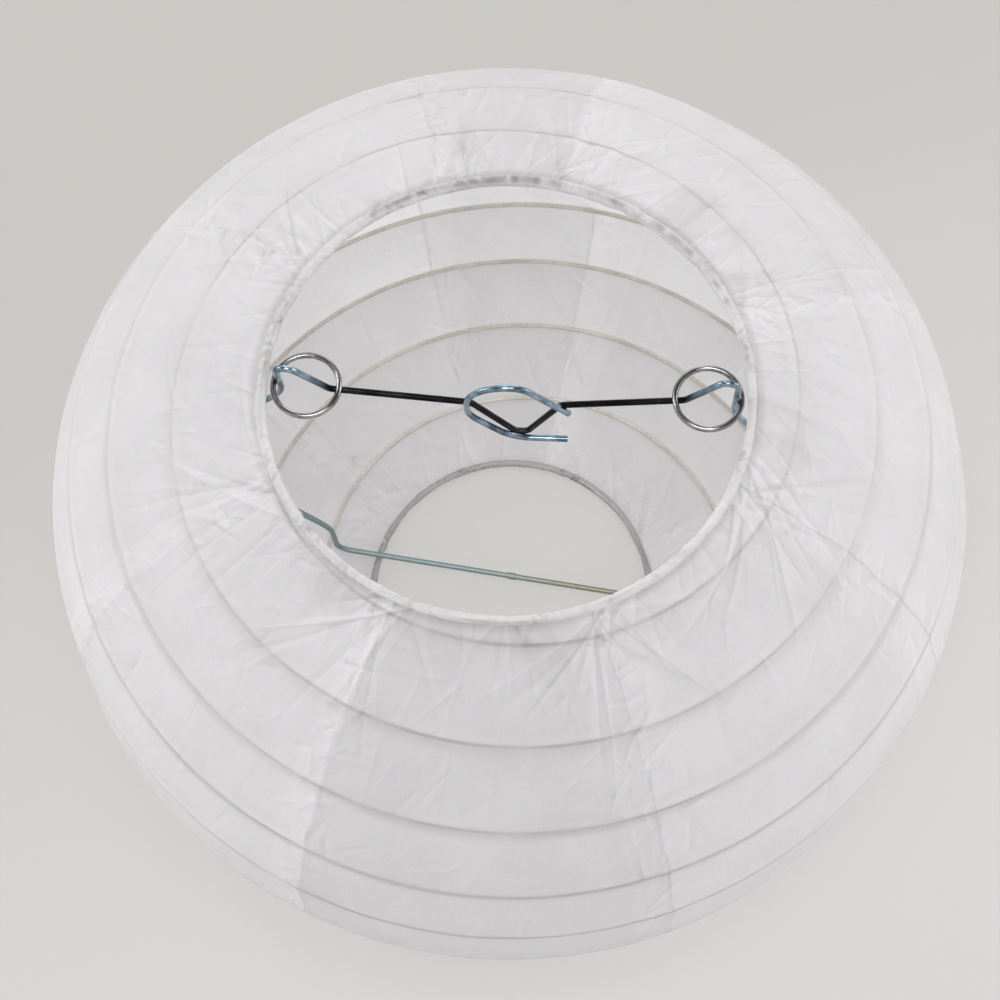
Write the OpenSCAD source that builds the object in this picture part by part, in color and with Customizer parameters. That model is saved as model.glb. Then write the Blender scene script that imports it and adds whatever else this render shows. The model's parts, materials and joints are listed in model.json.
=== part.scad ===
// Round paper lantern: eight glued paper gores over one spiral wire rib, a wire hoop
// rolled into the hem at each mouth, and a sprung wire frame that holds the shell open.
// Millimetres, +Z up, standing on the hem of the lower mouth.

/* [Paper shell] */
// Diameter of the shell at its middle
shell_d = 300; // [200:5:400]
// Height that the shell's outline would have if it closed at both ends
shell_h = 204; // [170:2:260]
// Squareness of the outline: 2 is an ellipse, more is flatter at the mouths
shell_n = 2.4; // [2:0.05:2.8]
// Diameter of the shell where the upper hem begins
top_rim_d = 144; // [130:1:160]
// Diameter of the shell where the lower hem begins
bottom_rim_d = 106; // [90:1:118]
// Thickness of the paper
paper_t = 0.4; // [0.3:0.05:0.8]
// Number of paper gores
gore_n = 8; // [6:1:12]
// Width of the glued lap, as an angle about the axis
lap_angle = 3.5; // [2:0.25:6]
// Direction of the first seam, measured from +X
seam_start = -68.6; // [-90:0.1:90]
// Diameter of the rolled hem
roll_d = 4.6; // [4:0.1:7]

/* [Ribs and hoops] */
// Diameter of the wire hoops inside the hems
hoop_d = 2; // [1.5:0.1:2.6]
// Room between a hoop and the paper rolled round it
hoop_room = 0.2; // [0.1:0.05:0.4]
// Diameter of the spiral rib
rib_d = 1.6; // [1:0.1:2.5]
// Drop of the spiral rib in one turn, as an angle of the outline
rib_pitch = 13.2; // [10:0.1:18]
// Direction in which the spiral rib leaves the upper hem, measured from +X
rib_start = -113.5; // [-180:0.1:180]
// Room between the spiral rib and the paper
rib_room = 0.2; // [0.15:0.05:0.5]

/* [Wire frame] */
// Diameter of the frame's wire
wire_d = 2; // [1.6:0.1:3]
// Diameter of the shoulder rings' wire
ring_wire_d = 1.8; // [1.4:0.1:2.4]
// Radius of a shoulder ring, at the middle of its wire
ring_r = 9.8; // [8:0.1:13]
// Room at the frame's seats on the hems
seat_gap = 0.3; // [0.2:0.05:0.6]
// Room between a shoulder ring and the bare upper hoop that slides past it
pass_gap = 0.35; // [0.25:0.05:1]
// Depth to which welded wires sink into each other
weld_sink = 0.2; // [0.1:0.05:0.4]
// Height of the shoulder hump above the bar
hump_h = 13; // [9:0.5:18]
// Slope of the hump's inner side
hump_slope = 52; // [45:1:60]
// Radius of the hump's top
hump_bend = 3.2; // [2.5:0.1:4.5]
// Drop of the bar from the shoulder rings to the vee
arm_drop = 6.6; // [2:0.2:12]
// Width of the vee in the middle of the bar
vee_w = 27; // [20:1:36]
// Depth of the vee
vee_h = 24; // [18:0.5:28]
// Offset of the vee from the middle of the bar
vee_x = 2.5; // [-4:0.5:4]
// Offset of the vee's tip from the vee's own middle
tip_x = 2; // [-3:0.5:3]
// Radius of the bends in the bar and the vee
bar_bend = 3; // [2:0.25:4]
// Diameter of the bead of weld that joins the frame's ends
bead_d = 2.6; // [2.2:0.1:3.6]
// Length of that bead
bead_l = 3; // [2:0.5:6]
// Radius of the two lower corners
corner_bend = 6; // [4:0.5:12]
// Turn of the lower bar against the upper one
frame_twist = -7.5; // [-10:0.5:10]
// Offset of the upper bar towards the back
bar_back = 1.5; // [-2:0.5:2]
// Offset of the lower bar's middle towards the back
bar_shift = 5; // [-5:0.5:5]

/* [Hanging clip] */
// Diameter of the clip's wire
clip_d = 2; // [1.6:0.1:3]
// Height of the clip's top above the vee's upper ends
arch_h = 15; // [13:0.5:18]
// Offset of the top's right end from the middle of the vee
arch_x = 2; // [0:0.5:5]
// Share of the top that is rounded into the clip's left side
left_round = 0.75; // [0.6:0.05:0.75]
// Radius of the bend at the top's right end, as a share of the top
right_round = 0.45; // [0.2:0.05:0.45]
// Reach of the clip's two ends beyond the vee's upper end
end_reach = 2.5; // [2:0.5:6]
// Drop of the clip's upper end below the vee's upper end
end_drop = 2; // [1:0.5:4]
// Depth of the clip's left side below the vee's upper ends
side_h = 5; // [4:0.5:7]
// Radius of the two lower bends
arm_bend = 14; // [8:0.5:15]

/* [Hidden] */
$fn = 64;

paper_colour = [0.89, 0.89, 0.9];
rib_colour = [0.62, 0.58, 0.5];
steel_colour = [0.45, 0.48, 0.5];
half_d = shell_d / 2;
half_h = shell_h / 2;
roll_r = roll_d / 2;
gore_angle = 360 / gore_n;
seam_gap = 0.06;         // angle left between one gore's edge and the next
lap_gap = 0.05;          // glue line under a lap
lap_seat = 1;            // angle by which a lap reaches back over its own gore
lap_short = 2;           // angle of the outline by which a lap stops short of the hems
step_edge = 0.1;         // angle from the back of the lap to the step that carries it
step_w = 0.5;            // angle taken by that step
outline_steps = 30;
hem_steps = 10;
rib_rings = 24;
rib_sides = 6;

// The outline is a superellipse. An angle of 90 is the top and -90 the bottom.
function signed_power(x, p) = sign(x) * pow(abs(x), p);
function outline(a) = [half_d * pow(cos(a), 2 / shell_n), half_h * signed_power(sin(a), 2 / shell_n)];
function unit(v) = v / norm(v);
function outward(a) = unit([pow(cos(a), 2 - 2 / shell_n) / half_d,
    signed_power(sin(a), 2 - 2 / shell_n) / half_h]);
function outline_angle(r) = acos(pow(r / half_d, shell_n / 2));
function heading(v) = atan2(v[1], v[0]);
function around(c, r, a) = c + r * [cos(a), sin(a)];

top_a = outline_angle(top_rim_d / 2);
bottom_a = -outline_angle(bottom_rim_d / 2);
top_c = outline(top_a) - roll_r * outward(top_a);
bottom_c = outline(bottom_a) - roll_r * outward(bottom_a);
base_z = roll_r - bottom_c[1];
top_hoop_r = top_c[0];
top_hoop_z = base_z + top_c[1];
bottom_hoop_r = bottom_c[0];
bottom_hoop_z = base_z + bottom_c[1];

// A strip of the outline between two angles and two depths, measured outwards.
function strip(a0, a1, depth) = [for (i = [0:outline_steps])
    let (a = a0 + (a1 - a0) * i / outline_steps) outline(a) + depth * outward(a)];
function hem(c, r, a0, a1) = [for (i = [0:hem_steps]) around(c, r, a0 + (a1 - a0) * i / hem_steps)];
function reversed(list) = [for (i = [len(list) - 1:-1:0]) list[i]];

hem_bore = hoop_d / 2 + hoop_room;
top_hem_a = heading(outward(top_a));
bottom_hem_a = heading(outward(bottom_a));
top_hem_end = 270;
bottom_hem_end = -270;
lap_top_a = top_a - lap_short;
lap_bottom_a = bottom_a + lap_short;

function layer(a0, a1, low, high) = concat(strip(a0, a1, high), reversed(strip(a0, a1, low)));
function gore_outline() = concat(
    hem(bottom_c, roll_r, bottom_hem_end, bottom_hem_a),
    strip(bottom_a, top_a, 0),
    hem(top_c, roll_r, top_hem_a, top_hem_end),
    hem(top_c, hem_bore, top_hem_end, top_hem_a),
    strip(top_a, bottom_a, -paper_t),
    hem(bottom_c, hem_bore, bottom_hem_a, bottom_hem_end));

module sector(points, from, to) {
    translate([0, 0, base_z]) rotate(from) rotate_extrude(angle = to - from) polygon(points);
}

// One gore, with its lap lying over the edge of the next one.
module gore(i) {
    from = seam_start + i * gore_angle;
    to = from + gore_angle;
    lap_back = to - lap_seat;
    step = lap_back + step_edge;
    color(paper_colour) union() {
        sector(gore_outline(), from + seam_gap, to);
        sector(layer(lap_bottom_a, lap_top_a, -paper_t / 2, lap_gap + paper_t / 2), step, step + step_w);
        sector(layer(lap_bottom_a, lap_top_a, lap_gap, lap_gap + paper_t), lap_back, to + lap_angle);
    }
}

// The spiral rib follows the inside of the paper. It starts and ends clear of the hems.
rib_depth = paper_t + rib_room + rib_d / 2;
rib_clear = roll_r + rib_d + rib_room;
function arc_per_degree(a) = norm(outline(a + 0.5) - outline(a - 0.5));
rib_a0 = top_a - rib_clear / arc_per_degree(top_a);
rib_a1 = bottom_a + rib_clear / arc_per_degree(bottom_a);
rib_turns = (rib_a0 - rib_a1) / rib_pitch;
rib_last = floor(rib_turns * rib_rings);

function swing(p, a) = [p[0] * cos(a), p[0] * sin(a), p[1]];
function rib_angle(i) = rib_a0 - rib_pitch * i / rib_rings;
function rib_turn(i) = rib_start + 360 * i / rib_rings;
function rib_point(i) = swing(outline(rib_angle(i)) - rib_depth * outward(rib_angle(i)), rib_turn(i))
    + [0, 0, base_z];
function rib_ring(i) =
    let (n = swing(outward(rib_angle(i)), rib_turn(i)),
         t = unit(rib_point(i + 0.5) - rib_point(i - 0.5)),
         b = unit(cross(t, n)),
         m = cross(b, t))
    [for (k = [0:rib_sides - 1]) let (a = 360 * k / rib_sides)
        rib_point(i) + rib_d / 2 * (cos(a) * m + sin(a) * b)];

module tube(rings, sides) {
    last = len(rings) - 1;
    points = [for (ring = rings) for (p = ring) p];
    walls = [for (i = [0:last - 1]) for (k = [0:sides - 1]) for (half = [0, 1])
        let (a = i * sides + k, b = i * sides + (k + 1) % sides)
        half == 0 ? [a, b, b + sides] : [a, b + sides, a + sides]];
    ends = [for (k = [1:sides - 2]) for (half = [0, 1])
        half == 0 ? [0, k + 1, k] : [last * sides, last * sides + k, last * sides + k + 1]];
    polyhedron(points = points, faces = concat(walls, ends));
}

module spiral_rib() {
    color(rib_colour) tube([for (i = [0:rib_last]) rib_ring(i)], rib_sides);
}

rib_gap = min([for (i = [0:rib_last - rib_rings]) for (k = [-2:2])
    i + rib_rings + k <= rib_last ? norm(rib_point(i) - rib_point(i + rib_rings + k)) - rib_d : shell_d]);
echo(str("spiral rib, least gap between turns: ", rib_gap, " mm"));

module hoop(r, z) {
    color(steel_colour) translate([0, 0, z]) rotate_extrude() translate([r, 0]) circle(d = hoop_d);
}
module top_hoop() { hoop(top_hoop_r, top_hoop_z); }
module bottom_hoop() { hoop(bottom_hoop_r, bottom_hoop_z); }

// A bent wire: a straight run to each corner and a round bend there. Every step is drawn
// from the end of the one before it, with Z along the wire and X towards the bend's centre.
// A collar too thin to see closes the seam between a bend and the next run.
collar_l = 0.3;
collar_over = 0.03;
function along(points, i) = unit(points[i + 1] - points[i]);
function bend_axis(points, i) = unit(cross(along(points, i - 1), along(points, i)));
function bend_turn(points, i) = acos(along(points, i - 1) * along(points, i));
function bend_reach(points, radii, i) =
    i == 0 || i == len(points) - 1 ? 0 : radii[i] * tan(bend_turn(points, i) / 2);
function run_length(points, radii, i) = norm(points[i + 1] - points[i])
    - bend_reach(points, radii, i) - bend_reach(points, radii, i + 1);
function bend_roll(points, i) =
    let (n = bend_axis(points, i), m = bend_axis(points, i + 1))
    atan2(cross(n, m) * along(points, i), n * m);

module bend(r, turn, d) {
    multmatrix([[-1, 0, 0, r], [0, 0, 1, 0], [0, 1, 0, 0], [0, 0, 0, 1]])
        rotate_extrude(angle = turn) translate([r, 0]) circle(d = d);
}

module wire_from(points, radii, d, i) {
    run = run_length(points, radii, i);
    last = len(points) - 2;
    cylinder(d = d, h = run);
    if (i > 0) translate([0, 0, -collar_l / 2]) cylinder(d = d + collar_over, h = collar_l);
    if (i < last) {
        turn = bend_turn(points, i + 1);
        r = radii[i + 1];
        translate([0, 0, run]) {
            bend(r, turn, d);
            translate([r * (1 - cos(turn)), 0, r * sin(turn)]) rotate([0, turn, 0])
                rotate([0, 0, i + 1 < last ? bend_roll(points, i + 1) : 0])
                    wire_from(points, radii, d, i + 1);
        }
    }
}

module bent_wire(points, radii, d) {
    z = along(points, 0);
    y = bend_axis(points, 1);
    x = cross(y, z);
    p = points[0];
    multmatrix([[x[0], y[0], z[0], p[0]], [x[1], y[1], z[1], p[1]], [x[2], y[2], z[2], p[2]], [0, 0, 0, 1]])
        wire_from(points, radii, d, 0);
}

// The frame stands inside both hoops. Its shoulder rings carry the upper hem and its
// lower bar lies across the lower hem.
ring_reach = top_hoop_r - hoop_d / 2 - pass_gap;
ring_x = sqrt(pow(ring_reach - ring_wire_d / 2 - ring_r, 2) - pow(bar_back, 2));
ring_z = top_hoop_z - roll_r - seat_gap - ring_wire_d / 2;
leg_x = ring_reach - ring_wire_d - wire_d / 2 + weld_sink;
bar_z = ring_z - ring_wire_d / 2 - wire_d / 2 + weld_sink;
hump_reach = hump_bend * tan((90 + hump_slope) / 2);
hump_corner_z = bar_z + hump_h - hump_bend + hump_reach;
hump_x = leg_x - (hump_corner_z - bar_z) / tan(hump_slope);
vee_z = bar_z - arm_drop;
foot_z = bottom_hoop_z + roll_r + seat_gap + wire_d / 2;
foot = leg_x * [cos(frame_twist), sin(frame_twist)];

// The wire's two ends meet in the middle of the lower bar, in a bead of weld.
bar_middle = [0, bar_shift, foot_z];
frame_points = [
    bar_middle,
    bar_middle + [foot[0], foot[1], 0],
    [leg_x, bar_back, hump_corner_z],
    [hump_x, bar_back, bar_z],
    [vee_x + vee_w / 2, bar_back, vee_z],
    [vee_x + tip_x, bar_back, vee_z - vee_h],
    [vee_x - vee_w / 2, bar_back, vee_z],
    [-hump_x, bar_back, bar_z],
    [-leg_x, bar_back, hump_corner_z],
    bar_middle - [foot[0], foot[1], 0],
    bar_middle];
half_bends = [corner_bend, hump_bend, bar_bend, bar_bend];
frame_bends = concat([0], half_bends, [bar_bend], reversed(half_bends), [0]);

module expander_frame() {
    color(steel_colour) union() {
        bent_wire(frame_points, frame_bends, wire_d);
        translate(bar_middle) rotate([0, 90, frame_twist])
            cylinder(d = bead_d, h = bead_l, center = true);
    }
}

module shoulder_ring(side) {
    color(steel_colour) translate([side * ring_x, bar_back, ring_z])
        rotate_extrude() translate([ring_r, 0]) circle(d = ring_wire_d);
}
module shoulder_ring_left() { shoulder_ring(-1); }
module shoulder_ring_right() { shoulder_ring(1); }

// The clip is a hairpin that lies against the front of the vee. It is welded to it at both
// upper ends and at the tip, and its top closes the hanging eye.
tip = 5;                 // place of the vee's tip in the list of points
tip_z = frame_points[tip][2] + bar_bend * (1 / cos(bend_turn(frame_points, tip) / 2) - 1);
clip_y = bar_back - (wire_d + clip_d) / 2 + weld_sink;
clip_left = vee_x - vee_w / 2 - wire_d / 2;
clip_right = vee_x + vee_w / 2 + end_reach;
arch_w = vee_x + arch_x - clip_left;
arm_z = tip_z - wire_d / 2;
clip_points = [
    [clip_right, clip_y, vee_z - end_drop],
    [vee_x + arch_x, clip_y, vee_z + arch_h],
    [clip_left, clip_y, vee_z + arch_h],
    [clip_left, clip_y, vee_z - side_h],
    [vee_x - wire_d / 2, clip_y, arm_z],
    [clip_right, clip_y, arm_z]];
clip_bends = [0, right_round * arch_w, left_round * arch_w, arm_bend, arm_bend, 0];

module hanging_clip() { color(steel_colour) bent_wire(clip_points, clip_bends, clip_d); }

for (i = [1:gore_n])
    gore(i - 1);
spiral_rib();
top_hoop();
bottom_hoop();
expander_frame();
shoulder_ring_left();
shoulder_ring_right();
hanging_clip();
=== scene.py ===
import json

import bmesh
import bpy
import numpy as np
from mathutils import Matrix, Vector


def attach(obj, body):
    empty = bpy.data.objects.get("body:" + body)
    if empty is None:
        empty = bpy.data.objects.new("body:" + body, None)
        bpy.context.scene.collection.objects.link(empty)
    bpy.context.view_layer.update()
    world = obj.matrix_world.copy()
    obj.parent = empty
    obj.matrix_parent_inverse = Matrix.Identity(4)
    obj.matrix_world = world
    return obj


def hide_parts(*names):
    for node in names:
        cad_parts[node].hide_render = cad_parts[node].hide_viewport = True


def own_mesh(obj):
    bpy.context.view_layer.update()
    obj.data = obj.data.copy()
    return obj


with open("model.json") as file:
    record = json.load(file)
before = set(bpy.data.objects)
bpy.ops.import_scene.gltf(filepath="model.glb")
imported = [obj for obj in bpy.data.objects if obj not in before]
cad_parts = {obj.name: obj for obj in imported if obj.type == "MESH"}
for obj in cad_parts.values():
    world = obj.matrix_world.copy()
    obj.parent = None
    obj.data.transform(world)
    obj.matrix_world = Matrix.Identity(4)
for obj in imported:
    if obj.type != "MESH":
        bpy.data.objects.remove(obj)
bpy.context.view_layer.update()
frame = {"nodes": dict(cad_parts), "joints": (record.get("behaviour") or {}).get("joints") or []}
rng = np.random.default_rng(41)
print("frame loaded:", len(frame["nodes"]), "nodes")


# Node arithmetic

class Socket:
    # A node socket that takes part in Python sums: each operator adds a Math node.
    def __init__(self, tree, plug=None):
        self.tree, self.plug = tree, plug

    def make(self, kind, settings=None, sockets=None, out=0):
        node = self.tree.nodes.new(kind)
        for name, value in (settings or {}).items():
            setattr(node, name, value)
        for name, value in (sockets or {}).items():
            if isinstance(value, Socket):
                self.tree.links.new(value.plug, node.inputs[name])
            else:
                node.inputs[name].default_value = value
        return Socket(self.tree, node.outputs[out] if len(node.outputs) else None)

    def math(self, operation, *terms):
        return self.make("ShaderNodeMath", {"operation": operation}, dict(enumerate(terms)))

    def __add__(self, other):
        return self.math("ADD", self, other)

    def __radd__(self, other):
        return self.math("ADD", other, self)

    def __sub__(self, other):
        return self.math("SUBTRACT", self, other)

    def __rsub__(self, other):
        return self.math("SUBTRACT", other, self)

    def __mul__(self, other):
        return self.math("MULTIPLY", self, other)

    def __rmul__(self, other):
        return self.math("MULTIPLY", other, self)

    def __abs__(self):
        return self.math("ABSOLUTE", self)

    def step(self, low, high):  # 0 below low, 1 above high, smooth between
        return self.make("ShaderNodeMapRange", {"interpolation_type": "SMOOTHSTEP"},
                         {0: self, 1: low, 2: high})

    def noise(self, scale, detail=3.0, rough=0.55, stretch=(1, 1, 1)):
        place = self.make("ShaderNodeMapping", None, {0: self, 3: stretch})
        return self.make("ShaderNodeTexNoise", None,
                         {"Vector": place, "Scale": scale, "Detail": detail, "Roughness": rough})

    def blend(self, first, second):  # first where this is 0, second where it is 1
        return self.make("ShaderNodeMix", {"data_type": "RGBA"},
                         {0: self, 6: first, 7: second}, out=2)

    def axis(self, number):  # 0, 1 or 2 for x, y or z of a vector
        return self.make("ShaderNodeSeparateXYZ", None, {0: self}, out=number)


def newMaterial(name):
    material = bpy.data.materials.new(name)
    material.use_nodes = True
    material.node_tree.nodes.clear()
    return material, Socket(material.node_tree)


def linear(red, green, blue):
    # screen values of 0 to 255 as the linear light that sockets take, by the sRGB curve
    screen = np.array([red, green, blue]) / 255
    light = np.where(screen <= 0.04045, screen / 12.92, ((screen + 0.055) / 1.055) ** 2.4)
    return (*(float(x) for x in light), 1.0)


# Meshes from arrays

def gridFaces(rows, columns, closedRows=False, closedColumns=False):
    # Quads of a grid whose vertex (i, j) has the number i * columns + j.
    i = np.arange(rows if closedRows else rows - 1)[:, None]
    j = np.arange(columns if closedColumns else columns - 1)[None, :]
    down, right = (i + 1) % rows, (j + 1) % columns
    corners = [i * columns + j, down * columns + j, down * columns + right, i * columns + right]
    return np.stack(corners, axis=-1).reshape(-1, 4)


def newPiece(name, points, faces, material, uv=None, marks=None):
    mesh = bpy.data.meshes.new(name)
    mesh.from_pydata(points.reshape(-1, 3), [], faces)
    mesh.polygons.foreach_set("use_smooth", np.ones(len(mesh.polygons), bool))
    if uv is not None:
        corner = np.empty(len(mesh.loops), int)
        mesh.loops.foreach_get("vertex_index", corner)
        layer = mesh.uv_layers.new(name="paperMap")
        layer.data.foreach_set("uv", uv.reshape(-1, 2)[corner].astype(np.float32).ravel())
    for mark, values in (marks or {}).items():
        layer = mesh.attributes.new(mark, "FLOAT", "POINT")
        layer.data.foreach_set("value", values.astype(np.float32).ravel())
    mesh.materials.append(material)
    piece = bpy.data.objects.new(name, mesh)
    bpy.context.collection.objects.link(piece)
    return piece


def smooth(low, high, value):  # 0 below low, 1 above high, 3t^2 - 2t^3 between
    t = np.clip((value - low) / (high - low), 0, 1)
    return t * t * (3 - 2 * t)


def wrapped(turn):  # an angle brought to -180..180
    return (turn + 180) % 360 - 180


# Outline of the shell: a superellipse. Its outline angle is 90 at the top and -90 at the bottom

shell = dict(
    diameter=0.300, height=0.204, squareness=2.4,
    upperRim=0.144, lowerRim=0.106, hemRadius=0.0023, gores=8, arcPoints=2001,
    ribPitch=13.2, ribStart=-113.5, ribRadius=0.0008, ribDepth=0.0014, ribGap=0.0002,
    ovalX=0.012, ovalY=-0.013, ovalFrom=25.0,   # the frame springs the upper mouth into an oval
)


def outline(angle):
    # r = R cos^(2/n), z = H sin^(2/n), with the sign of the sine kept
    c, s = np.cos(np.radians(angle)), np.sin(np.radians(angle))
    power = 2 / shell["squareness"]
    return (shell["diameter"] / 2 * np.abs(c) ** power,
            shell["height"] / 2 * np.sign(s) * np.abs(s) ** power)


def outward(angle):
    # unit normal of the superellipse: cos^(2-2/n) / R and sin^(2-2/n) / H, scaled to length 1
    c, s = np.cos(np.radians(angle)), np.sin(np.radians(angle))
    power = 2 - 2 / shell["squareness"]
    a = np.abs(c) ** power / shell["diameter"]
    b = np.sign(s) * np.abs(s) ** power / shell["height"]
    size = np.hypot(a, b)
    return a / size, b / size


def rimAngle(rim):
    return float(np.degrees(np.arccos((rim / shell["diameter"]) ** (shell["squareness"] / 2))))


def hemCentre(angle):
    (r, z), (a, b) = outline(angle), outward(angle)
    return float(r - shell["hemRadius"] * a), float(z - shell["hemRadius"] * b)


topAngle = rimAngle(shell["upperRim"])
bottomAngle = -rimAngle(shell["lowerRim"])
upperHemR, upperHemZ = hemCentre(topAngle)
lowerHemR, lowerHemZ = hemCentre(bottomAngle)
baseZ = shell["hemRadius"] - lowerHemZ
arcAngles = np.linspace(topAngle, bottomAngle, shell["arcPoints"])
arcSteps = np.hypot(*np.diff(outline(arcAngles), axis=1))
arcLength = np.concatenate([[0], np.cumsum(arcSteps)])
ribClear = shell["hemRadius"] + 2 * shell["ribRadius"] + shell["ribGap"]
ribFirst = float(np.interp(ribClear, arcLength, arcAngles))
ribLast = float(np.interp(arcLength[-1] - ribClear, arcLength, arcAngles))
ribSpacing = float(arcLength[-1] * shell["ribPitch"] / (topAngle - bottomAngle))


def fromTop(angle):  # length along the outline from the upper rim
    return np.interp(-angle, -arcAngles, arcLength)


def sprung(r, z, turn, angle):
    # the point at radius r, with the upper mouth drawn into its oval
    share = smooth(shell["ovalFrom"], topAngle, angle)
    x = r * np.cos(np.radians(turn)) * (1 + shell["ovalX"] * share)
    y = r * np.sin(np.radians(turn)) * (1 + shell["ovalY"] * share)
    return np.stack(np.broadcast_arrays(x, y, z + baseZ), axis=-1)


# Gores: lap edges in degrees round the axis, with the lap, crease fan, painted shadow along the lap
# edge and painted shade tone of each

gore = dict(
    rows=380, columns=180, rimRows=0.35, begins=0.0009, hemLevel=9,
    ends=(-22.5, 24.0, 79.0, 106.5, 148.0, 207.0, 247.0, 292.0),
    covers=0.3, wobble=0.1, strayWaves=(70.0, 190.0, 430.0), strayShift=2.4,
    lapLift=0.00014, lapRise=1.2, lapWhite=0.025, lapSoft=0.3, edgeShadowWidth=0.5,
    hemShadow=(0.0014, 0.004), hemShade=0.16,
    laps=(5.0, 5.0, 9.0, 5.0, 5.0, 5.0, 4.5, 5.0),
    fans=(1.0, 0.7, 0.35, 0.35, 0.5, 0.7, 1.0, 1.0),
    # painted shadow along each lap's outer edge, its strength per gore
    edges=(0.16, 0.06, 0.08, 0.05, 0.05, 0.08, 0.06, 0.06),
    # painted shade: the front gores darker and the back one greyer, as the light falls on them
    shadeTones=(0.96, 1.0, 0.98, 0.93, 0.98, 1.0, 0.98, 0.9),
)


# Creases of the paper, drawn once on a map of the whole shell so that a lap lies on what is under it

creases = dict(
    # a pair gives limits, but lapTurn and lapHeading give a mean and a deviation, in degrees,
    # and lapPlaces the two shapes of a beta distribution down the outline
    rows=720, columns=2400, hemFree=0.0012, blunt=0.06, tail=4, taper=0.4,
    # the fixed light of the painted crease shade and highlight: its direction around and down, its
    # strength and its limits
    litFrom=(0.8, 0.6), litShare=0.42, litLimits=(-0.12, 0.08),
    upperGathers=130, lowerGathers=40, gatherSpread=26,
    gatherLength=(0.005, 0.03), gatherWidth=(0.0003, 0.001), gatherDepth=(0.00008, 0.0004),
    broadFolds=60, broadSpread=24, broadTaper=0.5,
    broadLength=(0.015, 0.05), broadWidth=(0.002, 0.005), broadDepth=(0.0002, 0.0007),
    fanRays=16, fanSpread=42, fanRoot=2.5, fanStart=(0, 0.003),
    fanLength=(0.014, 0.06), fanWidth=(0.0003, 0.0011), fanDepth=(0.0002, 0.0008),
    lapCrinkles=170, lapPlaces=(1.1, 1.6), lapTurn=(-2, 2.3), lapHeading=(70, 45),
    lapLength=(0.003, 0.014), lapWidth=(0.0003, 0.0009), lapDepth=(0.0001, 0.00045),
    freeFolds=1500, foldSpread=45, foldReach=0.065, upperShare=0.65,
    foldLength=(0.004, 0.026), foldWidth=(0.0003, 0.0012), foldDepth=(0.00006, 0.0003),
)
mapStep = 360 / creases["columns"]
mapPlace = np.linspace(0, arcLength[-1], creases["rows"])
mapRadius = outline(np.interp(mapPlace, arcLength, arcAngles))[0]
creaseMap = np.zeros((creases["rows"], creases["columns"]))


def spread(pair):
    return rng.uniform(*pair)


def either():
    return rng.choice([-1.0, 1.0])


def anyTurn():
    return spread((-180, 180))


def addCrease(turn, place, heading, length, width, depth, taper=creases["taper"]):
    # A ridge from (turn, place) along a heading, 0 straight down. Across it the height falls as
    # exp(-|across| / width), blunted at the top; along it, as exp(-along^6), lower to the far end.
    c, s = np.cos(np.radians(heading)), np.sin(np.radians(heading))
    middle = place + length / 2 * c
    reach = length / 2 + creases["tail"] * width
    rows = np.flatnonzero(np.abs(mapPlace - middle) < reach)
    if len(rows) == 0:
        return
    radius = mapRadius[rows][:, None]
    centre = turn + np.degrees(length / 2 * s / radius.mean())
    window = np.degrees(reach / radius.min())
    columns = np.arange(int((centre - window) / mapStep), int((centre + window) / mapStep) + 1)
    side = radius * np.radians(columns * mapStep - centre)[None, :]
    down = (mapPlace[rows] - middle)[:, None]
    along, across = (side * s + down * c) / (length / 2), side * c - down * s
    ridge = np.exp(-np.sqrt((across / width) ** 2 + creases["blunt"]) - along ** 6)
    shape = ridge * np.clip(1 - taper - taper * along, 0, 1)
    creaseMap[np.ix_(rows, columns % creases["columns"])] += depth * shape


def gatherHem(count, top):
    for k in range(count):
        length, heading = spread(creases["gatherLength"]), rng.normal(0, creases["gatherSpread"])
        place, heading = (0, heading) if top else (arcLength[-1], 180 + heading)
        addCrease(anyTurn(), place, heading, length,
                  spread(creases["gatherWidth"]), either() * spread(creases["gatherDepth"]))


def drape(count):
    for k in range(count):
        addCrease(anyTurn(), 0, rng.normal(0, creases["broadSpread"]), spread(creases["broadLength"]),
                  spread(creases["broadWidth"]), either() * spread(creases["broadDepth"]),
                  creases["broadTaper"])


def fanFrom(turn, strength):
    for k in range(creases["fanRays"]):
        addCrease(turn + rng.normal(0, creases["fanRoot"]), spread(creases["fanStart"]),
                  rng.normal(0, creases["fanSpread"]),
                  spread(creases["fanLength"]), spread(creases["fanWidth"]),
                  either() * strength * spread(creases["fanDepth"]))


def crinkleLap(turn):
    for k in range(creases["lapCrinkles"]):
        place = arcLength[-1] * rng.beta(*creases["lapPlaces"])
        addCrease(turn + rng.normal(*creases["lapTurn"]), place, rng.normal(*creases["lapHeading"]),
                  spread(creases["lapLength"]), spread(creases["lapWidth"]),
                  either() * spread(creases["lapDepth"]))


def scatterFolds(count):
    for k in range(count):
        away = rng.exponential(creases["foldReach"])
        place = away if rng.random() < creases["upperShare"] else arcLength[-1] - away
        addCrease(anyTurn(), place, rng.normal(0, creases["foldSpread"]),
                  spread(creases["foldLength"]), spread(creases["foldWidth"]),
                  either() * spread(creases["foldDepth"]))


def mapAt(field, turn, place):
    # a map's value between its points, round the axis without an end
    row = np.clip(place / arcLength[-1], 0, 1) * (creases["rows"] - 1)
    column = turn / mapStep
    i, j = np.floor(row).astype(int), np.floor(column).astype(int)
    u, v = row - i, column - j
    below, after = np.minimum(i + 1, creases["rows"] - 1), (j + 1) % creases["columns"]
    j = j % creases["columns"]
    return ((1 - u) * ((1 - v) * field[i, j] + v * field[i, after])
            + u * ((1 - v) * field[below, j] + v * field[below, after]))


gatherHem(creases["upperGathers"], True)
gatherHem(creases["lowerGathers"], False)
drape(creases["broadFolds"])
for lapEnd, strength in zip(gore["ends"], gore["fans"]):
    fanFrom(lapEnd, strength)
    crinkleLap(lapEnd)
scatterFolds(creases["freeFolds"])
fromHem = np.minimum(mapPlace, arcLength[-1] - mapPlace)
creaseMap *= smooth(0, creases["hemFree"], fromHem)[:, None]
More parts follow.
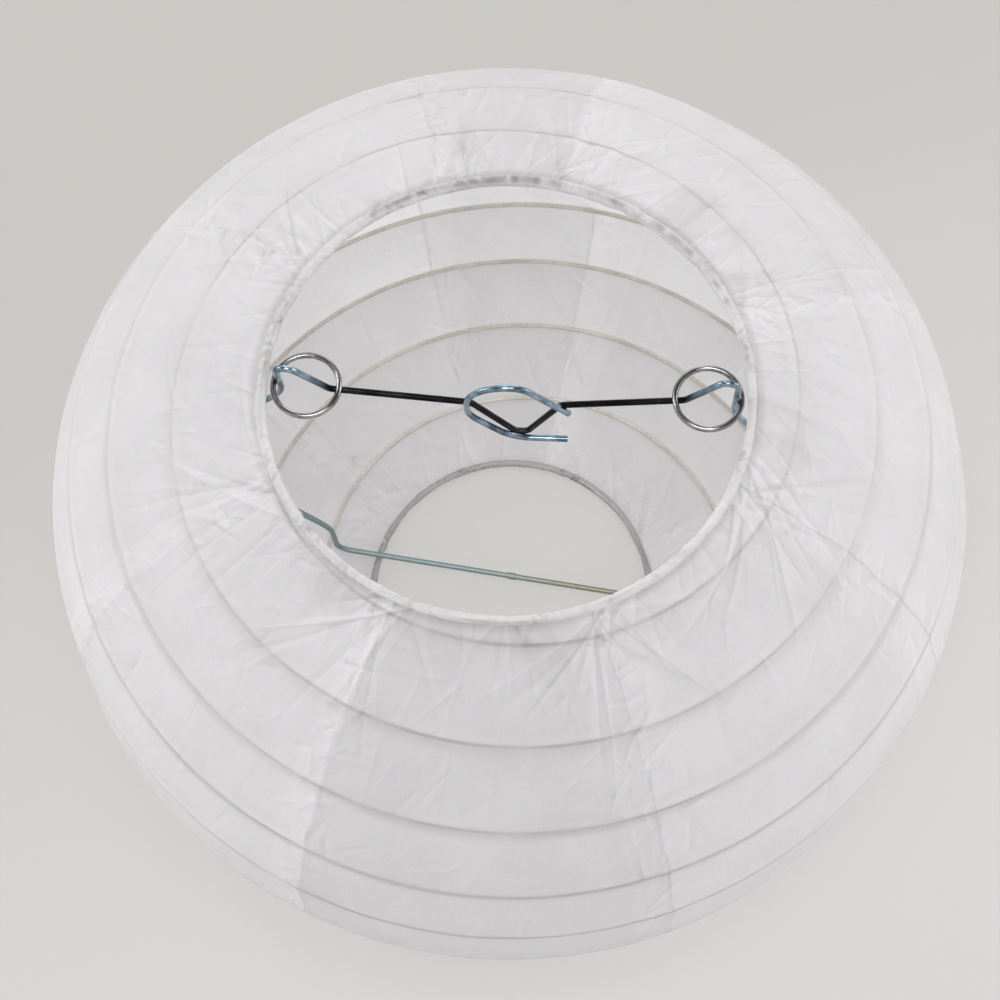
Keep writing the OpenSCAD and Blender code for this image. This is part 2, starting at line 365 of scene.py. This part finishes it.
# painted shade and highlight: each crease gets a pale and a dull line from its slope towards a fixed
# light, painted into the paper's tone
stepWidth = mapRadius * np.radians(mapStep)
slopeAround = (np.roll(creaseMap, -1, 1) - np.roll(creaseMap, 1, 1)) / (2 * stepWidth)[:, None]
slopeDown = np.gradient(creaseMap, mapPlace, axis=0)
litAround, litDown = creases["litFrom"]
paintedLitMap = creases["litShare"] * (litAround * slopeAround + litDown * slopeDown)
paintedLitMap = np.clip(paintedLitMap, *creases["litLimits"])
print("creases drawn")


# Paper between the turns of the rib

paper = dict(ribRoom=0.0003, ribFree=0.004, taut=0.85, bow=0.0008, tuck=0.0008, tuckReach=0.005,
             waves=10, wave=0.000125, turns=(3, 15), downs=(4, 40))
waveTurns = rng.integers(*paper["turns"], paper["waves"])
waveRows = rng.uniform(*paper["downs"], paper["waves"])
wavePhase = rng.uniform(0, 2 * np.pi, paper["waves"])


def waved(turn, place):
    # slow unevenness: a sum of waves round the axis and down the outline
    total = sum(np.sin(n * np.radians(turn) + k * place + p)
                for n, k, p in zip(waveTurns, waveRows, wavePhase))
    return paper["wave"] * total


def paperSheet(turn, angle, lift):
    # Between two turns of the rib the paper is a chord of the outline, bowed in a little, with its
    # creases on top. At both hems it tucks in under the roll.
    winding = (turn - shell["ribStart"]) / 360
    phase = (ribFirst - angle) / shell["ribPitch"] - winding
    above = ribFirst - shell["ribPitch"] * (np.floor(phase) + winding)
    upper = np.minimum(above, topAngle)
    lower = np.maximum(above - shell["ribPitch"], bottomAngle)
    f = np.clip((upper - angle) / np.maximum(upper - lower, 1e-6), 0, 1)
    chord = [(1 - f) * hi + f * lo for hi, lo in zip(outline(upper), outline(lower))]
    r, z = (paper["taut"] * c + (1 - paper["taut"]) * o for c, o in zip(chord, outline(angle)))
    place = fromTop(angle)
    crease = mapAt(creaseMap, turn, place)
    span = (upper - lower) / shell["ribPitch"]
    tuck = 1 - smooth(0, paper["tuckReach"], np.minimum(place, arcLength[-1] - place))
    loose = 4 * f * (1 - f)     # 0 at the turns of the rib and 1 midway
    out = lift + crease + (waved(turn, place) - paper["bow"] * span) * loose - paper["tuck"] * tuck
    # a crease doesn't sink into the rib under it
    out = np.maximum(out, -paper["ribRoom"] - paper["ribFree"] * loose - paper["tuck"] * tuck)
    a, b = outward(angle)
    return sprung(r + out * a, z + out * b, turn, angle), phase, crease


# Materials

def mixed(first, second, share):  # a share of the first and the rest of the second
    return share * first + (1 - share) * second


paperFinish = dict(
    white=linear(247, 246, 248), thin=linear(240, 239, 241), ribShade=linear(176, 174, 174),
    soiled=linear(152, 149, 138), highlightWhite=(1.0, 1.0, 1.0, 1.0),
    # noises: scale, detail, roughness and, for fibres, their stretch
    fibre=(1400, 4, 0.65, (1, 1, 0.35)), cloud=(38, 3, 0.6), patchy=(55, 2), crinkle=(260, 5, 0.6),
    stain=(75, 4, 0.7), speck=(420, 2, 0.6),
    cloudShare=0.55, thinStep=(0.36, 0.66), patchyStep=(0.3, 0.7), patchyLeast=0.3,
    stainShare=0.7, stainStep=(0.55, 0.66), crinkleShare=0.6,
    # metres below a turn of the rib: a painted highlight line begins, is full, fades and ends, then
    # comes the dull line of the rib's painted shadow
    ribHighlight=(-0.0034, -0.0012, -0.0006, 0.0), highlightShare=0.5,
    ribLine=0.0002, ribShadow=(0.0002, 0.0008), shadowShare=0.42, sideFade=(0.05, 0.12), sideShare=0.7,
    dipShade=(0.00003, 0.0006), dipShadeShare=0.2,
    seeThrough=0.69, roughness=0.72, shine=0.25, bump=0.2, bumpDepth=0.0006,
)


def paperMaterial(name, soil=0.0, ribs=True):
    material, start = newMaterial(name)
    where = start.make("ShaderNodeTexCoord", out=3)
    fibre = where.noise(*paperFinish["fibre"])
    cloud = where.noise(*paperFinish["cloud"])
    toneAndShade = start.make("ShaderNodeAttribute", {"attribute_name": "toneAndShade"}, out=2)
    crease = start.make("ShaderNodeAttribute", {"attribute_name": "crease"}, out=2)
    thin = mixed(cloud, fibre, paperFinish["cloudShare"]).step(*paperFinish["thinStep"])
    colour = thin.blend(paperFinish["white"], paperFinish["thin"])
    if ribs:
        shifted = start.make("ShaderNodeUVMap", {"uv_map": "paperMap"}).axis(1) + 0.5
        # metres below the nearest turn of the rib
        away = (shifted.math("FRACT", shifted) - 0.5) * ribSpacing
        least = paperFinish["patchyLeast"]
        patchy = where.noise(*paperFinish["patchy"]).step(*paperFinish["patchyStep"])
        uneven = patchy * (1 - least) + least
        # painted highlight on the paper above each turn of the rib
        low, full, fade, end = paperFinish["ribHighlight"]
        light = away.step(low, full) * (1 - away.step(fade, end))
        colour = (light * uneven * paperFinish["highlightShare"]).blend(colour, paperFinish["highlightWhite"])
        # painted shadow of the rib, a dull line at its turn
        dark = 1 - abs(away - paperFinish["ribLine"]).step(*paperFinish["ribShadow"])
        # the rib's painted shadow line is fainter at both sides
        aside = abs(where.axis(0)).step(*paperFinish["sideFade"])
        dark = dark * (1 - aside * paperFinish["sideShare"])
        colour = (dark * uneven * paperFinish["shadowShare"]).blend(colour, paperFinish["ribShade"])
    if soil:
        stain, speck = where.noise(*paperFinish["stain"]), where.noise(*paperFinish["speck"])
        patch = mixed(stain, speck, paperFinish["stainShare"]).step(*paperFinish["stainStep"])
        colour = (patch * soil).blend(colour, paperFinish["soiled"])
    # painted shade in the hollows of the creases
    dipShade = (0 - crease).step(*paperFinish["dipShade"])
    colour = (dipShade * paperFinish["dipShadeShare"]).blend(colour, paperFinish["ribShade"])
    # the tone attribute brings in the painted shade, shadows and highlights, along with the laps'
    # double paper
    colour = start.make("ShaderNodeMix", {"data_type": "RGBA", "blend_type": "MULTIPLY"},
                        {0: 1.0, 6: colour, 7: toneAndShade}, out=2)
    crinkle = mixed(where.noise(*paperFinish["crinkle"]), fibre, paperFinish["crinkleShare"])
    bump = start.make("ShaderNodeBump", None, {"Strength": paperFinish["bump"],
                                               "Distance": paperFinish["bumpDepth"], "Height": crinkle})
    face = start.make("ShaderNodeBsdfPrincipled", None,
                      {"Base Color": colour, "Roughness": paperFinish["roughness"],
                       "Specular IOR Level": paperFinish["shine"], "Normal": bump})
    back = start.make("ShaderNodeBsdfTranslucent", None, {"Color": colour, "Normal": bump})
    both = start.make("ShaderNodeMixShader", None, {0: paperFinish["seeThrough"], 1: face, 2: back})
    start.make("ShaderNodeOutputMaterial", None, {"Surface": both})
    return material


wireFinish = dict(
    dark=linear(40, 40, 42), darkest=linear(22, 22, 23),
    steel=linear(164, 186, 201), dull=linear(80, 100, 113),
    chrome=linear(172, 171, 172), grey=linear(104, 101, 101),
    teal=linear(150, 166, 169), olive=linear(160, 160, 138),
    legTop=(0.11, 0.17), shoulder=(0.052, 0.057), bar=(-0.03, 0.04), roughness=(0.1, 0.24), satin=0.35,
    blotch=(140, 3, 0.6), grain=(2600, 2, 0.5), blotchShare=0.75, mottleStep=(0.35, 0.65),
    bump=0.12, bumpDepth=0.0001,
)


def wireMaterial(name, light, deep, lower=False):
    # plated wire, mottled; on the frame's own wire the colour is a painted reflection, set by place:
    # black along its upper bar, steel at the shoulders, and teal to olive below, where it is also satin
    material, start = newMaterial(name)
    where = start.make("ShaderNodeTexCoord", out=3)
    blotch = where.noise(*wireFinish["blotch"])
    grain = where.noise(*wireFinish["grain"])
    mottle = mixed(blotch, grain, wireFinish["blotchShare"]).step(*wireFinish["mottleStep"])
    colour = mottle.blend(wireFinish[light], wireFinish[deep])
    low, high = wireFinish["roughness"]
    rough = blotch * (high - low) + low
    # painted reflection: the frame's colours by place along its one wire
    if lower:
        shoulder = mottle.blend(wireFinish["steel"], wireFinish["dull"])
        colour = abs(where.axis(0)).step(*wireFinish["shoulder"]).blend(colour, shoulder)
        below = where.axis(0).step(*wireFinish["bar"]).blend(wireFinish["teal"], wireFinish["olive"])
        upper = where.axis(2).step(*wireFinish["legTop"])
        colour = upper.blend(below, colour)
        rough = rough + (1 - upper) * wireFinish["satin"]
    bump = start.make("ShaderNodeBump", None, {"Strength": wireFinish["bump"],
                                               "Distance": wireFinish["bumpDepth"], "Height": grain})
    metal = start.make("ShaderNodeBsdfPrincipled", None,
                       {"Base Color": colour, "Metallic": 1.0, "Normal": bump, "Roughness": rough})
    start.make("ShaderNodeOutputMaterial", None, {"Surface": metal})
    return material


ribFinish = dict(
    pale=linear(213, 210, 202), dull=linear(193, 189, 179), roughness=0.6,
    stain=(60, 4, 0.65), speck=(900, 2, 0.5), stainShare=0.7, stainStep=(0.4, 0.62),
    bump=0.3, bumpDepth=0.0002,
)


def ribMaterial(name):
    material, start = newMaterial(name)
    where = start.make("ShaderNodeTexCoord", out=3)
    stain, speck = where.noise(*ribFinish["stain"]), where.noise(*ribFinish["speck"])
    stain = mixed(stain, speck, ribFinish["stainShare"]).step(*ribFinish["stainStep"])
    colour = stain.blend(ribFinish["pale"], ribFinish["dull"])
    bump = start.make("ShaderNodeBump", None, {"Strength": ribFinish["bump"],
                                               "Distance": ribFinish["bumpDepth"], "Height": stain})
    coat = start.make("ShaderNodeBsdfPrincipled", None,
                      {"Base Color": colour, "Roughness": ribFinish["roughness"], "Normal": bump})
    start.make("ShaderNodeOutputMaterial", None, {"Surface": coat})
    return material


gorePaper = paperMaterial("gorePaper")
hemPaper = paperMaterial("hemPaper", soil=0.35, ribs=False)
wornPaper = paperMaterial("wornPaper", soil=0.9, ribs=False)
springWire = wireMaterial("springWire", "dark", "darkest", lower=True)
clipWire = wireMaterial("clipWire", "steel", "dull")
ringWire = wireMaterial("ringWire", "chrome", "grey")
ribCoat = ribMaterial("ribCoat")
print("materials made")


# Paper gores, each an open sheet with its lap over the next one

collapse = next(j for j in frame["joints"] if j["name"] == "collapse")
hoopZ = baseZ + upperHemZ
keepShare = 1 - max(abs(x) for x in collapse["range_m"]) / hoopZ


def lapEdge(number, place):
    # the hand-laid edge strays a little: waves of three lengths down the outline
    strays = sum(np.sin(k * place + gore["strayShift"] * number) for k in gore["strayWaves"])
    return gore["ends"][number] + gore["wobble"] * strays


def goreGrid(number):
    # rows stand closer towards the upper hem, where the creases are finest
    t = np.linspace(0, 1, gore["rows"])
    share = gore["rimRows"] * t + (1 - gore["rimRows"]) * t * t
    place = gore["begins"] + (arcLength[-1] - gore["begins"]) * share
    rowAngle = np.interp(place, arcLength, arcAngles)[:, None]
    end = lapEdge(number, place)[:, None]
    start = lapEdge((number - 1) % shell["gores"], place)[:, None] - gore["covers"]
    if number == 0:
        start = start - 360
    turn = start + (end - start) * np.linspace(0, 1, gore["columns"])[None, :] + 0 * rowAngle
    # rows lean with the spiral rib, except at the hems
    level = gore["hemLevel"]
    middle = smooth(0, level, topAngle - rowAngle) * smooth(0, level, rowAngle - bottomAngle)
    angle = rowAngle - middle * shell["ribPitch"] * (turn - (start + end) / 2) / 360
    under = end - gore["covers"]
    lift = gore["lapLift"] * smooth(under - gore["lapRise"], under, turn)
    # painted shadow: the tone darkens over the last part of each gore, along the lap's outer edge
    edge = gore["edges"][number] * smooth(end - gore["edgeShadowWidth"], end, turn)
    lap = gore["lapWhite"] * smooth(0, gore["lapSoft"], turn - (end - gore["laps"][number]))
    # the gore's painted shade tone, lighter where the lap's paper lies double and darker at the painted
    # lap-edge shadow
    return turn, angle, lift, gore["shadeTones"][number] * (1 + lap - edge)


def makeGore(number):
    turn, angle, lift, toneAndShade = goreGrid(number)
    points, phase, crease = paperSheet(turn, angle, lift)
    place = fromTop(angle)
    # painted shadow just below the upper hem, with the painted crease shade and highlight, goes into
    # the tone
    underHem = 1 - smooth(*gore["hemShadow"], place)
    toneAndShade = toneAndShade * (1 + mapAt(paintedLitMap, turn, place)) * (1 - gore["hemShade"] * underHem)
    uv = np.stack([np.radians(turn) * shell["diameter"] / 2, phase], axis=-1)
    piece = newPiece(f"paper_gore_{number + 1}", points, gridFaces(*turn.shape), gorePaper, uv,
                     {"toneAndShade": toneAndShade, "crease": crease})
    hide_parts(f"gore_{number + 1}")
    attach(piece, "shell")
    angleWidth = np.radians(turn.max() - turn.min())
    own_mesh(piece)


for number in range(shell["gores"]):
    makeGore(number)
print("gores made: length %.3f m" % arcLength[-1])


# Rolled hems, the upper one on its hoop

hem = dict(
    upper=0.0017, lower=0.0012, slack=0.0001, around=1600, section=24,
    dents=(-0.0005, 0.0001), lean=0.6,
    ridges=420, ridgeDepth=(0.00004, 0.00024), ridgeWidth=(0.0003, 0.0012), ridgeLength=0.004,
    wrinkles=260, wrinkleDepth=(0.00006, 0.0003), wrinkleWidth=(0.0003, 0.0007),
    wrinkleLength=(0.003, 0.014),
    # the turned-in edge: height, place on the roll, and waves of degrees, per metre and phase
    flap=0.00025, flapFrom=205.0, flapWaves=((18, 160, 0.0), (14, 410, 1.3)),
    flapRise=12, flapFade=(70, 110),
    # the first two paint shade and highlight on the roll's creases; the last sets the steps by which
    # the painted gap shadows vary round the roll
    litShare=0.3, litLimits=(-0.16, 0.06), lowerTone=0.76, gapShadowSteps=260,
    # painted shadows where the roll stands open or meets the paper: turn, half-width, place on the
    # roll, reach, share
    gapShadows=((119, 11, 105, 34, 0.46), (100, 7, 115, 30, 0.4), (88, 9, 100, 46, 0.56),
          (66, 7, 110, 30, 0.4), (47, 8, 105, 30, 0.4), (30, 7, 110, 26, 0.36),
          (12, 8, 120, 24, 0.24), (160, 9, 120, 24, 0.2), (-90, 34, 12, 22, 0.24),
          (-48, 12, 20, 24, 0.2), (-140, 14, 20, 24, 0.2)),
)


def makeHem(name, r, z, angle, body, material, side, size, slack):
    # a tube round the mouth, creased across, with the wavy edge of the turned-in paper along it;
    # the frame pulls the paper tight at both sides, so it is thinner there
    turn = np.linspace(0, 360, hem["around"], endpoint=False)[:, None]
    section = np.linspace(0, 360, hem["section"], endpoint=False)[None, :]
    place = r * np.radians(turn)
    crease = np.zeros((hem["around"], hem["section"]))
    for k in range(hem["ridges"] + hem["wrinkles"]):
        # ridges run across the roll, wrinkles along it
        bend = np.radians(wrapped(section - spread((0, 360)))) * size
        around = r * np.radians(wrapped(turn - spread((0, 360)))) - rng.normal(0, hem["lean"]) * bend
        if k < hem["ridges"]:
            depth, wide, deep = spread(hem["ridgeDepth"]), spread(hem["ridgeWidth"]), hem["ridgeLength"]
        else:
            depth, wide = spread(hem["wrinkleDepth"]), spread(hem["wrinkleLength"])
            deep = spread(hem["wrinkleWidth"])
        crease += either() * depth * np.exp(-(around / wide) ** 2 - (bend / deep) ** 2)
    crease = np.clip(crease, *hem["dents"])
    edge = hem["flapFrom"] + sum(swing * np.sin(place * k + p) for swing, k, p in hem["flapWaves"])
    past = wrapped(section - edge)
    flap = hem["flap"] * smooth(-hem["flapRise"], 0, past) * (1 - smooth(*hem["flapFade"], past))
    radius = size - slack * np.cos(2 * np.radians(turn)) + crease + flap
    points = sprung(r + radius * np.cos(np.radians(section)) * np.ones_like(turn),
                    z + side * radius * np.sin(np.radians(section)), turn, angle)
    points[..., 2] = np.maximum(points[..., 2], 0)     # the lower hem lies flat where it stands
    faces = gridFaces(hem["around"], hem["section"], True, True)
    faces = faces if side > 0 else faces[:, ::-1]
    # painted shade and highlight: the tone follows each crease's slope on the roll
    slope = ((np.roll(crease, -1, 0) - np.roll(crease, 1, 0)) * hem["around"] / r
             + (np.roll(crease, -1, 1) - np.roll(crease, 1, 1)) * hem["section"] / size) / (4 * np.pi)
    # the lower hem is darker overall
    toneAndShade = (1 if side > 0 else hem["lowerTone"]) + np.clip(hem["litShare"] * slope, *hem["litLimits"])
    # painted shadows where the roll stands open or meets the paper, stronger and weaker round the roll
    if side > 0:
        gapShadowSteps = rng.uniform(0, 1, hem["gapShadowSteps"])
        gapShadowVary = np.interp(turn, np.linspace(0, 360, hem["gapShadowSteps"]), gapShadowSteps, period=360)
        for at, half, low, reach, share in hem["gapShadows"]:
            opened = np.exp(-(wrapped(turn - at) / half) ** 4 - (wrapped(section - low) / reach) ** 4)
            toneAndShade = toneAndShade * (1 - share * gapShadowVary * opened)
    piece = newPiece(name, points, faces, material, marks={"toneAndShade": toneAndShade, "crease": crease})
    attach(piece, body)


makeHem("upper_hem", upperHemR, upperHemZ, topAngle, "top_rim", hemPaper, 1, hem["upper"], hem["slack"])
makeHem("lower_hem", lowerHemR, lowerHemZ, bottomAngle, "shell", wornPaper, -1, hem["lower"], 0)
print("hems made")


# Wire inside the upper hem, sprung to the same oval

hoop = dict(radius=0.001, around=240, section=10)


def makeHoop(name, node, r, z, angle, body):
    # a torus of the wire's radius on the mouth's oval
    turn = np.linspace(0, 360, hoop["around"], endpoint=False)[:, None]
    section = np.radians(np.linspace(0, 360, hoop["section"], endpoint=False))[None, :]
    points = sprung(r + hoop["radius"] * np.cos(section) * np.ones_like(turn),
                    z + hoop["radius"] * np.sin(section), turn, angle)
    piece = newPiece(name, points, gridFaces(hoop["around"], hoop["section"], True, True), ribCoat)
    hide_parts(node)
    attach(piece, body)


makeHoop("upper_hoop_wire", "top_hoop", upperHemR, upperHemZ, topAngle, "top_rim")


# Spiral rib: one round wire down the inside of the paper

rib = dict(perTurn=72, sides=10)


def makeRib():
    # a circle carried along the spiral: the turn grows steadily as the outline angle falls
    count = int((ribFirst - ribLast) / shell["ribPitch"] * rib["perTurn"])
    along = np.arange(count + 1) / rib["perTurn"]
    angle = ribFirst - shell["ribPitch"] * along
    turn = shell["ribStart"] + 360 * along
    (r, z), (a, b) = outline(angle), outward(angle)
    path = sprung(r - shell["ribDepth"] * a, z - shell["ribDepth"] * b, turn, angle)
    tangent = np.gradient(path, axis=0)
    tangent /= np.linalg.norm(tangent, axis=1, keepdims=True)
    normal = np.stack([a * np.cos(np.radians(turn)), a * np.sin(np.radians(turn)), b], axis=-1)
    side = np.cross(tangent, normal)
    side /= np.linalg.norm(side, axis=1, keepdims=True)
    normal = np.cross(side, tangent)
    section = np.linspace(0, 2 * np.pi, rib["sides"], endpoint=False)[None, :, None]
    circle = np.cos(section) * normal[:, None] + np.sin(section) * side[:, None]
    points = path[:, None] + shell["ribRadius"] * circle
    faces = gridFaces(count + 1, rib["sides"], False, True)
    first = list(range(rib["sides"]))
    last = [count * rib["sides"] + k for k in reversed(first)]
    piece = newPiece("spiral_rib_wire", points, [*faces.tolist(), first, last], ribCoat)
    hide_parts("spiral_rib")
    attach(piece, "shell")
    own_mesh(piece)


makeRib()
print("rib made")


# Wire frame: the construction's own wire, its legs sprung outwards below the upper mouth

bow = dict(out=0.016, low=0.028, high=0.183, ease=0.2, fromAxis=0.05, rings=48)


def makeFrame(node):
    # between the two heights a leg stands further from the axis, with a smooth bend at both ends
    solid = bpy.data.objects[node]
    mesh = solid.data.copy()
    mesh.transform(solid.matrix_world)
    cut = bmesh.new()
    cut.from_mesh(mesh)
    for height in np.linspace(bow["low"], bow["high"], bow["rings"]):
        bmesh.ops.bisect_plane(cut, geom=[*cut.verts, *cut.edges, *cut.faces],
                               plane_co=(0, 0, height), plane_no=(0, 0, 1))
    cut.to_mesh(mesh)
    cut.free()
    points = np.empty((len(mesh.vertices), 3), np.float32)
    mesh.vertices.foreach_get("co", points.reshape(-1))
    t = np.clip((points[:, 2] - bow["low"]) / (bow["high"] - bow["low"]), 0, 1)
    away = np.hypot(points[:, 0], points[:, 1])
    bent = bow["out"] * smooth(0, bow["ease"], t) * smooth(0, bow["ease"], 1 - t)
    out = np.where(away > bow["fromAxis"], bent, 0)
    points[:, :2] *= (1 + out / np.maximum(away, bow["fromAxis"]))[:, None]
    mesh.vertices.foreach_set("co", points.reshape(-1))
    mesh.polygons.foreach_set("use_smooth", np.ones(len(mesh.polygons), bool))
    mesh.materials.clear()
    mesh.materials.append(springWire)
    piece = bpy.data.objects.new("sprung_frame", mesh)
    bpy.context.collection.objects.link(piece)
    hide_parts(node)
    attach(piece, "expander")


makeFrame("expander_frame")
print("frame made")


# Rings, clip and lower hoop: the construction's own solids, with their finish

for node, finish in (("shoulder_ring_left", ringWire), ("shoulder_ring_right", ringWire),
                     ("hanging_clip", clipWire), ("bottom_hoop", ribCoat)):
    wire = bpy.data.objects[node]
    wire.data.materials.clear()
    wire.data.materials.append(finish)


# Studio: pale floor, lamps at both sides, above, behind and one for glints, pale walls, dim ceiling

studio = dict(
    floor=linear(217, 216, 214), shade=linear(195, 194, 190),
    floorSize=80.0, floorGlow=0.6, floorRough=0.9, fadeSide=0.4, fade=(-0.25, 0.2),
    walls=(1.0, 1.0, 0.99, 1.0), ceiling=(0.12, 0.12, 0.125, 1.0), ceilingRise=(0.6, 0.85),
    roomLight=0.89,
    # name, power, place and size
    lamps=(("leftLamp", 5.4, (-1.3, 0.45, 0.75), 0.7), ("rightLamp", 5.4, (1.3, 0.45, 0.75), 0.7),
           ("topLamp", 12.4, (0.0, -0.3, 1.8), 0.8), ("backLamp", 4.0, (0.0, 1.3, 0.45), 0.8),
           ("glintLamp", 1.2, (-0.6, 0.5, 1.6), 0.12)),
)


def makeFloor():
    half = studio["floorSize"] / 2
    corners = np.array([[-half, -half, 0], [half, -half, 0], [half, half, 0], [-half, half, 0]], float)
    material, start = newMaterial("paleFloor")
    where = start.make("ShaderNodeTexCoord", out=3)
    # painted shade: the floor's colour darkens towards the back and left
    near = (studio["fadeSide"] * where.axis(0) - where.axis(1)).step(*studio["fade"])
    colour = near.blend(studio["shade"], studio["floor"])
    matt = start.make("ShaderNodeBsdfPrincipled", None,
                      {"Base Color": colour, "Roughness": studio["floorRough"]})
    glow = start.make("ShaderNodeEmission", None, {0: colour, 1: 1.0})
    # the glow counts for rays from the camera, from shiny wire and through the paper
    camera, glossy, through = (start.make("ShaderNodeLightPath", out=f"Is {ray} Ray")
                               for ray in ("Camera", "Glossy", "Transmission"))
    seen = start.math("MAXIMUM", start.math("MAXIMUM", camera, glossy), through)
    both = start.make("ShaderNodeMixShader", None, {0: seen * studio["floorGlow"], 1: matt, 2: glow})
    start.make("ShaderNodeOutputMaterial", None, {"Surface": both})
    floor = newPiece("floor", corners, np.array([[0, 1, 2, 3]]), material)


def makeLamp(name, power, place, size, target):
    lamp = bpy.data.lights.new(name, "AREA")
    lamp.energy, lamp.size = power, size
    thing = bpy.data.objects.new(name, lamp)
    thing.location = place
    thing.rotation_euler = (Vector(target) - Vector(place)).to_track_quat("-Z", "Y").to_euler()
    bpy.context.collection.objects.link(thing)


makeFloor()
centre = (0, 0, baseZ)
for lamp in studio["lamps"]:
    makeLamp(*lamp, centre)
world = bpy.data.worlds.new("room")
world.use_nodes = True
world.node_tree.nodes.clear()
room = Socket(world.node_tree)
rise = room.make("ShaderNodeTexCoord", out=0).axis(2)
shade = rise.step(*studio["ceilingRise"]).blend(studio["walls"], studio["ceiling"])
walls = room.make("ShaderNodeBackground", None, {0: shade, 1: studio["roomLight"]})
backdrop = room.make("ShaderNodeBackground", None, {0: studio["shade"], 1: 1.0})
seen = room.make("ShaderNodeLightPath", out="Is Camera Ray")
surround = room.make("ShaderNodeMixShader", None, {0: seen, 1: walls, 2: backdrop})
room.make("ShaderNodeOutputWorld", None, {0: surround})
bpy.context.scene.world = world
bpy.context.scene.view_settings.view_transform = "Standard"


# Camera at the photograph's place

view = dict(azimuth=3.6, elevation=69.36, distance=0.6719, roll=-1.43,
            focal=2000.0, image=1000.0, centrePixel=(509.3, 502.7), sensor=36.0)


def makeCamera():
    turn, rise, roll = (np.radians(view[k]) for k in ("azimuth", "elevation", "roll"))
    back = np.array([np.sin(turn) * np.cos(rise), -np.cos(turn) * np.cos(rise), np.sin(rise)])
    level = np.array([np.cos(turn), np.sin(turn), 0])
    upright = np.cross(back, level)
    right = np.cos(roll) * level + np.sin(roll) * upright
    up = np.cos(roll) * upright - np.sin(roll) * level
    camera = bpy.data.cameras.new("camera")
    camera.sensor_width = view["sensor"]
    camera.lens = view["focal"] / view["image"] * view["sensor"]
    camera.shift_x = 0.5 - view["centrePixel"][0] / view["image"]
    camera.shift_y = view["centrePixel"][1] / view["image"] - 0.5
    thing = bpy.data.objects.new("camera", camera)
    place = np.array(centre) + view["distance"] * back
    matrix = np.eye(4)
    matrix[:3] = np.stack([right, up, back, place], axis=1)
    thing.matrix_world = Matrix(matrix.tolist())
    bpy.context.collection.objects.link(thing)
    bpy.context.scene.camera = thing


makeCamera()
print("studio and camera set")
